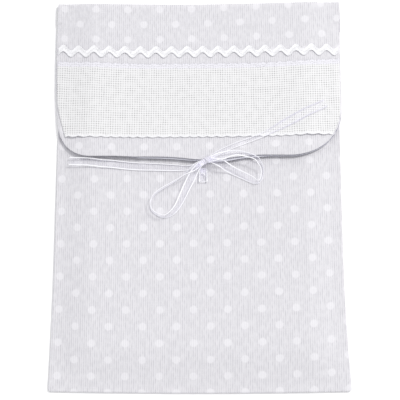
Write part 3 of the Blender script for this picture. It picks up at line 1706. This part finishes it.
@dataclass
class Bow:
    """The bow of sheer ribbon: its knot, two loops, two free ends and the tab below.

    A climb is the share of a strand's length over which it comes down from the knot. A tuck is
    how far outside the flap's lower edge a ribbon still rests on the flap. It is negative for the
    left free end, which may slip in under the lifted edge.
    """

    form: BagForm
    band: CanvasBand
    ribbon_width: float = 0.0065
    layer: float = 0.0010
    film: float = 0.00014
    edge_thread: float = 0.00052
    knot_length: float = 0.0115
    knot_width: float = 0.0062
    knot_height: float = 0.0050
    knot_below_edge: float = 0.0020
    knot_turn: float = 33.0
    tab_length: float = 0.0115
    tab_aside: float = -0.0014
    tab_lift: float = 0.0012
    tab_stations: int = 40
    tab_edge_from: int = 12
    tab_edge_radius: float = 0.00060
    tab_edge_inset: float = 0.0004
    arch_radius: float = 0.00040
    hem_radius: float = 0.00024
    hem_reach: float = 0.92
    knot_pleats: float = 3.4
    knot_pleat_depth: float = 0.05
    knot_edge_from: float = 0.86
    inside_knot: float = 0.35
    look_ahead: float = 0.0015
    tail_stations: int = 150
    tuck_left: float = -0.0024
    tuck_right: float = 0.0009
    tip_left: float = 0.0011
    tip_from: float = 0.55
    tip_run: float = 0.30
    loop_stations: int = 220
    tail_climb: float = 0.14
    loop_gather: float = 0.60
    loop_gather_run: float = 0.12
    loop_climb: float = 0.22
    crossing_end: float = 0.30
    crossing_run: float = 0.10

    # places across half of a ribbon, close together over the thread along its edge
    across_shares: Sequence[float] = (0.0, 0.01, 0.035, 0.065, 0.10, 0.13, 0.20, 0.32, 0.44)
    # size, place along, tilt, width: the strips wound round the knot
    windings: Table = (
        (0.60, 0.0000, 0.0010, 0.0090),
        (0.68, -0.0012, -0.0014, 0.0056),
        (0.74, 0.0010, 0.0016, 0.0040),
    )
    # x, y: the small arch at the tab's top, from the middle of its end
    tab_arch: Table = (
        (-0.0029, 0.0050),
        (-0.0022, 0.0066),
        (-0.0008, 0.0072),
        (0.0006, 0.0066),
        (0.0016, 0.0050),
    )
    # x, y: middle lines of the free ends, from the knot's centre
    tail_left: Table = (
        (-0.0061, -0.0014),
        (-0.0106, -0.0028),
        (-0.0150, -0.0034),
        (-0.0227, -0.0032),
        (-0.0325, -0.0027),
        (-0.0415, -0.0023),
        (-0.0509, -0.0020),
        (-0.0604, -0.0012),
        (-0.0702, -0.0002),
        (-0.0793, 0.0004),
        (-0.0884, 0.0015),
        (-0.0959, 0.0022),
        (-0.1032, 0.0029),
    )
    tail_right: Table = (
        (0.0052, 0.0041),
        (0.0095, 0.0068),
        (0.0151, 0.0099),
        (0.0245, 0.0141),
        (0.0340, 0.0177),
        (0.0425, 0.0212),
        (0.0497, 0.0248),
        (0.0556, 0.0281),
        (0.0622, 0.0319),
        (0.0698, 0.0362),
        (0.0768, 0.0402),
        (0.0845, 0.0442),
        (0.0922, 0.0483),
    )
    # along, width: how wide the gathered free ends have opened, as shares of length and ribbon
    tail_left_width: Table = ((0.0, 0.40), (0.07, 0.48), (0.19, 0.80), (0.36, 0.95), (0.6, 1.0), (1.0, 1.0))
    tail_right_width: Table = ((0.0, 0.40), (0.07, 0.50), (0.22, 0.58), (0.5, 0.62), (0.66, 1.0), (1.0, 1.0))
    # along, across, lean: each loop from the knot round and back, lean 90 is on edge
    loop_left: Table = (
        (0.105, -0.09, 0.0),
        (0.19, -0.12, 30.0),
        (0.28, -0.18, 64.0),
        (0.38, -0.24, 80.0),
        (0.535, -0.35, 85.0),
        (0.68, -0.45, 87.0),
        (0.793, -0.465, 88.0),
        (0.885, -0.36, 88.0),
        (0.935, -0.18, 88.0),
        (0.942, 0.06, 88.0),
        (0.914, 0.31, 86.0),
        (0.86, 0.45, 78.0),
        (0.775, 0.50, 63.0),
        (0.67, 0.46, 52.0),
        (0.54, 0.34, 40.0),
        (0.41, 0.20, 28.0),
        (0.28, 0.08, 16.0),
        (0.19, 0.01, 6.0),
        (0.105, -0.02, 0.0),
    )
    loop_right: Table = (
        (0.12, 0.17, 0.0),
        (0.22, 0.33, 4.0),
        (0.30, 0.41, 12.0),
        (0.40, 0.55, 26.0),
        (0.55, 0.68, 36.0),
        (0.71, 0.71, 40.0),
        (0.85, 0.65, 46.0),
        (0.955, 0.48, 58.0),
        (1.01, 0.20, 70.0),
        (1.02, -0.10, 80.0),
        (1.005, -0.29, 86.0),
        (0.955, -0.355, 74.0),
        (0.87, -0.30, 54.0),
        (0.73, -0.205, 44.0),
        (0.56, -0.10, 38.0),
        (0.39, 0.01, 26.0),
        (0.25, 0.075, 12.0),
        (0.12, 0.10, 0.0),
    )

    @property
    def strand_step(self) -> float:
        """How much higher one strand lies than the one it crosses."""
        return self.layer + 2 * self.form.gap

    def lying_height(self, x: np.ndarray, y: np.ndarray, margin: float = 0.0009) -> np.ndarray:
        """Find the top of whatever lies under a point: front panel, flap or canvas band.

        Args:
            x: places across the bag.
            y: places up the bag.
            margin: how far outside its lower edge the flap counts. It is negative for a ribbon
                that may tuck in under the lifted edge.

        Returns:
            The height at each place.
        """
        f, band = self.form, self.band
        left, right = f.flap_edges(y)
        on_flap = (y > f.lower_edge(x) - margin) & (x > left) & (x < right)
        top = np.where(on_flap, f.flap_top(x, y), f.front(x, y))
        low = f.half_height - band.bottom_drop + f.hang(x, band.bottom_sag)
        high = f.half_height - band.top_drop + f.hang(x, band.top_sag)
        on_band = on_flap & (y > low) & (y < high)
        return np.where(on_band, f.flap_top(x, y) + f.gap + band.thickness, top)

    def directions(self) -> tuple[np.ndarray, np.ndarray]:
        """Turn the knot on the cloth.

        Returns:
            The unit directions along the knot and across it.
        """
        turn = math.radians(self.knot_turn)
        forward = np.array([math.cos(turn), math.sin(turn), 0.0])
        return forward, np.cross(UP, forward)

    def centre(self) -> np.ndarray:
        """Place the knot as low as an ellipsoid of its size can lie on the cloth.

        Returns:
            The knot's centre.
        """
        f = self.form
        edge_y = float(f.lower_edge(np.array(f.knot_aside)))
        middle = np.array([f.knot_aside, edge_y - self.knot_below_edge, 0.0])
        forward, sideways = self.directions()
        along, across = np.meshgrid(np.linspace(-1, 1, 13), np.linspace(-1, 1, 13))
        spot = middle + forward * (along * self.knot_length / 2)[..., None]
        spot = spot + sideways * (across * self.knot_width / 2)[..., None]
        depth = self.knot_height / 2 * np.sqrt(np.maximum(1 - along**2 - across**2, 0.0))
        highest = np.max(self.lying_height(spot[..., 0], spot[..., 1]) + depth)
        return middle + UP * (highest + f.gap)

    def resting_line(
        self,
        x: np.ndarray,
        y: np.ndarray,
        half: Any,
        under: Sequence[RibbonLine] = (),
        margin: float = 0.0009,
    ) -> np.ndarray:
        """Find the height that a ribbon's under face takes: the top of all that its width crosses.

        Args:
            x: the ribbon's stations across the bag.
            y: its stations up the bag.
            half: half its width, as it lies.
            under: ribbons that it may cross.
            margin: how far outside its lower edge the flap counts.

        Returns:
            The height at each station.
        """
        tangent = unit(np.stack([np.gradient(x), np.gradient(y)], axis=1))
        side = np.stack([-tangent[:, 1], tangent[:, 0]], axis=1)
        reach = half + 2 * self.form.gap
        highest = np.zeros_like(x)
        for across in np.linspace(-1.0, 1.0, 7):
            for ahead in (-self.look_ahead, 0.0, self.look_ahead):
                px = x + side[:, 0] * across * reach + tangent[:, 0] * ahead
                py = y + side[:, 1] * across * reach + tangent[:, 1] * ahead
                highest = np.maximum(highest, self.lying_height(px, py, margin))
                for line in under:
                    apart_x = px[:, None] - line.centre[None, :, 0]
                    apart_y = py[:, None] - line.centre[None, :, 1]
                    away = np.hypot(apart_x, apart_y)
                    top = line.centre[np.argmin(away, axis=1), 2] + self.layer / 2 + self.form.gap
                    covered = np.min(away, axis=1) < self.ribbon_width / 2 + self.form.gap
                    highest = np.maximum(highest, np.where(covered, top, 0.0))
        return highest

    def tail_line(self, route: Table, widths: Table, margin: float, tip_lift: float) -> RibbonLine:
        """Lay a free end along its route on the cloth, climbing to the knot by a parabola.

        Args:
            route: its middle line's places, from the knot's centre.
            widths: how wide it has opened at each share of its length.
            margin: how far outside its lower edge the flap counts.
            tip_lift: how far its tip stands off the cloth.

        Returns:
            The free end's line.
        """
        knot = self.centre()
        inside = (route[0][0] * self.inside_knot, route[0][1] * self.inside_knot)
        line = smooth_route([inside, *route], self.tail_stations)
        x, y = knot[0] + line[:, 0], knot[1] + line[:, 1]
        height = eased(self.resting_line(x, y, self.ribbon_width / 2, margin=margin), passes=60)
        share = np.linspace(0.0, 1.0, self.tail_stations)
        z = height + self.form.gap + self.layer / 2
        near = np.clip(1.0 - share / self.tail_climb, 0.0, 1.0) ** 2
        z = z + (np.maximum(knot[2] - self.strand_step, z) - z) * near
        z = z + tip_lift * smooth_step((share - self.tip_from) / self.tip_run)
        centre = np.stack([x, y, z], axis=1)
        side = unit(np.cross(UP, np.gradient(centre, axis=0)))
        return RibbonLine(centre, side, self.ribbon_width * table_value(widths, 1, share))

    def loop_line(self, shape: LoopShape, under: Sequence[RibbonLine]) -> RibbonLine:
        """Lead a loop from the knot round and back, turned on edge round its far bend.

        Near the knot it climbs by a power of the distance, and one strand lies over the other.

        Args:
            shape: the loop's form.
            under: the free ends that the loop lies over.

        Returns:
            The loop's line.
        """
        inwards = np.array([self.inside_knot, self.inside_knot, 1.0])
        first, last = np.array(shape.route[0]) * inwards, np.array(shape.route[-1]) * inwards
        scale = np.array([shape.length, shape.breadth, 1.0])
        rows = smooth_route(np.array([first, *shape.route, last]) * scale, self.loop_stations)
        lean = np.radians(rows[:, 2])
        turn = math.radians(shape.heading)
        knot = self.centre()
        x = knot[0] + rows[:, 0] * math.cos(turn) - rows[:, 1] * math.sin(turn)
        y = knot[1] + rows[:, 0] * math.sin(turn) + rows[:, 1] * math.cos(turn)
        reach = np.cos(lean) * self.ribbon_width / 2 + self.layer / 2
        ground = eased(self.resting_line(x, y, reach, under), passes=80)
        rise = np.abs(np.sin(lean)) * self.ribbon_width / 2 + np.abs(np.cos(lean)) * self.layer / 2
        share = np.linspace(0.0, 1.0, len(x))
        from_end = np.minimum(share, 1 - share)
        step = np.where((share > 0.5) == bool(shape.over.value), self.strand_step, 0.0)
        z = ground + self.form.gap + rise
        near = np.clip(1.0 - from_end / self.loop_climb, 0.0, 1.0) ** 1.5
        z = z + (np.maximum(knot[2] + step, z) - z) * near
        crossing = smooth_step((self.crossing_end - from_end) / self.crossing_run)
        z = z + step * crossing * (1 - near)
        centre = np.stack([x, y, z], axis=1)
        tangent = unit(np.gradient(centre[:, :2], axis=0))
        inward = 1.0 if rows[len(rows) // 4, 1] < rows[3 * len(rows) // 4, 1] else -1.0
        across = np.stack([-tangent[:, 1], tangent[:, 0]], axis=1) * inward
        side = np.concatenate([across * np.cos(lean)[:, None], np.sin(lean)[:, None]], axis=1)
        opened = np.clip(from_end / self.loop_gather_run, 0.0, 1.0)
        gathered = self.loop_gather + (1 - self.loop_gather) * opened
        return RibbonLine(centre, side, self.ribbon_width * gathered)

    def strip(
        self,
        name: str,
        line: RibbonLine,
        organza: bpy.types.Material,
        both_held: bool = False,
        more: Sequence[Patch] = (),
    ) -> bpy.types.Object:
        """Make a ribbon along its line: a thin film with a round thread along each edge.

        Half the thickness is the film's, plus the thread's half circle where the place across is
        within the thread's radius of the edge, and falls to 0 at the rim and at both ends.

        Args:
            name: the piece's name.
            line: the ribbon's line, which starts in the knot.
            organza: its material.
            both_held: whether its other end is in the knot too.
            more: threads that belong to the same piece.

        Returns:
            The piece.
        """
        tangent = unit(np.gradient(line.centre, axis=0))
        side = unit(line.side - tangent * np.sum(line.side * tangent, axis=1, keepdims=True))
        shares = np.array(self.across_shares)
        across = (np.concatenate([shares, [0.5], 1 - shares[::-1]]) * 2 - 1)[None]
        points = line.centre[:, None] + side[:, None] * (across * line.width[:, None] / 2)[..., None]
        reach = way_along(line.centre)
        from_edge = (1 - np.abs(across)) * self.ribbon_width / 2
        radius = self.edge_thread
        thread = np.sqrt(np.maximum(radius**2 - (from_edge - radius) ** 2, 0.0)) / 2
        half = closed_rim(np.maximum(np.broadcast_to(thread, points.shape[:2]), self.film / 2))
        if both_held:
            reach = np.minimum(reach, reach[-1] - reach)
        flat_x = np.broadcast_to(across * self.ribbon_width / 2, points.shape[:2])
        flat = np.stack([flat_x, np.broadcast_to(reach[:, None], points.shape[:2])], axis=-1)
        return weld(name, [*two_faces(points, half, flat), *more], [organza])

    def knot(self, wrapped: bpy.types.Material) -> bpy.types.Object:
        """Make the knot: strips of ribbon wound round its axis, tilted against each other.

        Each strip goes round an ellipse, its place along the axis swinging as a sine of the
        angle, and its width is drawn together into small pleats.

        Args:
            wrapped: the finish of ribbon in many layers.

        Returns:
            The piece.
        """
        centre = self.centre()
        forward, sideways = self.directions()
        angle = np.linspace(0.0, 2 * math.pi, 49)[:, None]
        across = np.linspace(-1.0, 1.0, 25)[None]
        patches = []
        for size, place, tilt, width in self.windings:
            turn = across * self.knot_pleats * math.pi + 1.2 * np.sin(angle)
            pleat = 1 + self.knot_pleat_depth * np.cos(turn)
            from_middle = (place + across * width / 2) / (self.knot_length / 2)
            taper = np.sqrt(np.maximum(1 - from_middle**2, 0.05))
            radius = size * pleat * taper**0.7
            along = place + tilt * np.sin(angle) + across * width / 2
            points = (
                centre
                + forward * along[..., None]
                + sideways * (self.knot_width / 2 * radius * np.cos(angle))[..., None]
                + UP * (self.knot_height / 2 * radius * np.sin(angle))[..., None]
            )
            thread = np.where(np.abs(across) > self.knot_edge_from, self.edge_thread, self.film) / 2
            half = np.broadcast_to(thread, points.shape[:2]).copy()
            half[:, 0], half[:, -1] = 0.0, 0.0
            flat_x = np.broadcast_to(across * self.ribbon_width / 2, points.shape[:2])
            flat_y = np.broadcast_to(angle * self.knot_width / 2, points.shape[:2])
            patches += two_faces(points, half, np.stack([flat_x, flat_y], axis=-1))
        return weld("bow_knot_wrap", patches, [wrapped])

    def tab_line(self) -> RibbonLine:
        """Hang the tab from under the knot onto the front panel, its end lifting a little.

        Returns:
            The tab's line.
        """
        knot = self.centre()
        start = knot[1] - self.knot_width / 2 - self.form.gap
        y = np.linspace(start, start - self.tab_length, self.tab_stations)
        x = np.full_like(y, knot[0] + self.tab_aside)
        height = eased(self.resting_line(x, y, self.ribbon_width / 2), passes=20)
        lift = np.linspace(0.0, self.tab_lift, self.tab_stations)
        z = height + self.form.gap + self.layer / 2 + lift
        side = np.tile([1.0, 0.0, 0.0], (self.tab_stations, 1))
        return RibbonLine(np.stack([x, y, z], axis=1), side, np.full(self.tab_stations, self.ribbon_width))

    def tab(self, finish: Organza) -> bpy.types.Object:
        """Make the tab: broad bright edges, a small arch at its top and a hem along its end.

        Args:
            finish: the ribbon's finish.

        Returns:
            The piece.
        """
        line = self.tab_line()
        half = self.ribbon_width / 2
        last = line.centre[-1]
        arch = last[:2] + np.array(self.tab_arch)
        height = np.interp(arch[:, 1], line.centre[::-1, 1], line.centre[::-1, 2])
        bend = np.column_stack([arch, height + self.arch_radius])
        hem_x = np.linspace(-self.hem_reach, self.hem_reach, 9)[:, None]
        hem = last + np.array([half, 0.0, 0.0]) * hem_x + np.array([0.0, 0.0004, 0.0002])
        threads = [
            thread_tube(smooth_route(bend, 15), self.arch_radius, half),
            thread_tube(hem, self.hem_radius, half),
        ]
        for turn in (-1.0, 1.0):
            aside = np.array([turn * (half - self.tab_edge_inset), 0.0, 0.0001])
            edge = line.centre[self.tab_edge_from :] + aside
            threads.append(thread_tube(edge, self.tab_edge_radius, half))
        return self.strip("tab_ribbon", line, finish.material("hemmed_organza"), more=threads)

    def build(self, finish: Organza) -> None:
        """Build the free ends first, then the loops that lie over them, the knot and the tab.

        Args:
            finish: the ribbon's finish, which the loops and free ends vary a little.
        """
        organza = replace(finish, film_cover=0.038, scatter=0.45).material("sheer_organza")
        tails = {
            "left": self.tail_line(self.tail_left, self.tail_left_width, self.tuck_left, self.tip_left),
            "right": self.tail_line(self.tail_right, self.tail_right_width, self.tuck_right, 0.0),
        }
        shaded = replace(finish, film_cover=0.045, scatter=0.08)
        creased = replace(finish, film_cover=0.026, crease_cover=0.09, edge_cover=0.62, worn_from_mm=42.0)
        dresses = {"left": shaded.material("shaded_organza"), "right": creased.material("creased_organza")}
        for name, line in tails.items():
            strip = self.strip(f"tail_{name}_ribbon", line, dresses[name])
            piece = seat(strip, f"ribbon_tail_{name}")
            length = float(way_along(line.centre)[-1])
            LOG.info("%s is %.0f mm long", piece.name, length / MM)
        loops = {
            "left": LoopShape(self.loop_left, 0.0574, 0.020, -135.0, Strand.RETURNING),
            "right": LoopShape(self.loop_right, 0.043, 0.017, -13.0, Strand.LEAVING),
        }
        for name, shape in loops.items():
            line = self.loop_line(shape, list(tails.values()))
            seat(self.strip(f"bow_loop_{name}_ribbon", line, organza, True), f"bow_loop_{name}")
        seat(self.knot(WrappedOrganza().material("wrapped_organza")), "bow_knot")
        seat(self.tab(finish), "ribbon_tab")


@dataclass
class Studio:
    """The pale floor, the soft light and the camera at the photograph's angle.

    The floor is matt paper, which gives the eye a white ground with hardly a shadow. A little
    light of its own stands for the bright surround of a photographer's table.
    """

    elevation: float = 73.98
    distance: float = 1.052
    aim: tuple[float, float, float] = (0.0012, -0.0095, 0.0080)
    frame_px: float = 400.0
    focal_px: float = 1403.0
    sensor_mm: float = 36.0
    floor_size: float = 4.0
    floor_drop: float = 0.0004
    floor_glow: float = 0.10
    floor_white: str = "#FCFCFC"
    surround: tuple[float, float, float, float] = (0.985, 0.985, 1.0, 1.0)
    fill: float = 0.82
    key_power: float = 110.0
    key_size: float = 1.15
    key_distance: float = 5.0
    key_elevation: float = 57.0
    key_azimuth: float = 52.0
    key_colour: tuple[float, float, float] = (1.0, 0.99, 0.965)

    def camera(self) -> bpy.types.Object:
        """Set the camera back from its aim along its view, with +X to the right and no roll.

        Returns:
            The camera.
        """
        tilt = math.radians(90 - self.elevation)
        view = Vector((0.0, math.sin(tilt), -math.cos(tilt)))
        up = Vector((0.0, math.cos(tilt), math.sin(tilt)))
        data = bpy.data.cameras.new("camera")
        data.sensor_width = self.sensor_mm
        data.lens = self.focal_px / self.frame_px * self.sensor_mm
        camera = bpy.data.objects.new("camera", data)
        place = Vector(self.aim) - view * self.distance
        axes = Matrix((Vector((1.0, 0.0, 0.0)), up, -view)).transposed()
        camera.matrix_world = Matrix.Translation(place) @ axes.to_4x4()
        bpy.context.scene.collection.objects.link(camera)
        bpy.context.scene.camera = camera
        return camera

    def floor(self) -> bpy.types.Object:
        """Lay the floor just under the bag.

        Returns:
            The floor.
        """
        half = self.floor_size / 2
        mesh = bpy.data.meshes.new("floor")
        corners = [(-half, -half), (half, -half), (half, half), (-half, half)]
        mesh.from_pydata([(x, y, -self.floor_drop) for x, y in corners], [], [(0, 1, 2, 3)])
        w = Weaver("matt_white_paper")
        w.set(Base_Color=linear(self.floor_white), Roughness=0.9, Specular_IOR_Level=0.0)
        w.set(Emission_Color=linear("#FFFFFF"), Emission_Strength=self.floor_glow)
        mesh.materials.append(w.material)
        floor = bpy.data.objects.new("floor", mesh)
        bpy.context.scene.collection.objects.link(floor)
        return floor

    def lights(self) -> None:
        """Light the bag by an even pale surround and one soft lamp beyond its top."""
        world = bpy.data.worlds.new("surround")
        world.use_nodes = True
        background = world.node_tree.nodes["Background"]
        background.inputs["Color"].default_value = self.surround
        background.inputs["Strength"].default_value = self.fill
        bpy.context.scene.world = world
        azimuth, elevation = math.radians(self.key_azimuth), math.radians(self.key_elevation)
        level = math.cos(elevation)
        away = Vector((math.sin(azimuth) * level, math.cos(azimuth) * level, math.sin(elevation)))
        data = bpy.data.lights.new("key", "AREA")
        data.shape = "DISK"
        data.size = self.key_size
        data.energy = self.key_power
        data.color = self.key_colour
        lamp = bpy.data.objects.new("key", data)
        facing = away.to_track_quat("Z", "Y").to_matrix().to_4x4()
        lamp.matrix_world = Matrix.Translation(away * self.key_distance) @ facing
        bpy.context.scene.collection.objects.link(lamp)

    def build(self) -> None:
        """Set up the view transform, floor and lights."""
        bpy.context.scene.view_settings.view_transform = "Standard"
        self.floor()
        self.lights()


def main() -> None:
    """Build the camera, the bow with its cords, the bag's cloth pieces and the studio."""
    logging.basicConfig(level=logging.INFO, format="%(name)s: %(message)s")
    studio = Studio()
    studio.camera()
    form = BagForm()
    band = CanvasBand(form)
    cotton = DottedCotton()
    Bow(form, band).build(Organza())
    Pouch(form).build(cotton)
    Flap(form).build(cotton)
    Facing(form).build(PlainCotton())
    band.build(EvenweaveCanvas(), SewingThread())
    RickRack(form).build(BraidCotton(), SewingThread())
    studio.build()


if __name__ == "__main__":
    main()
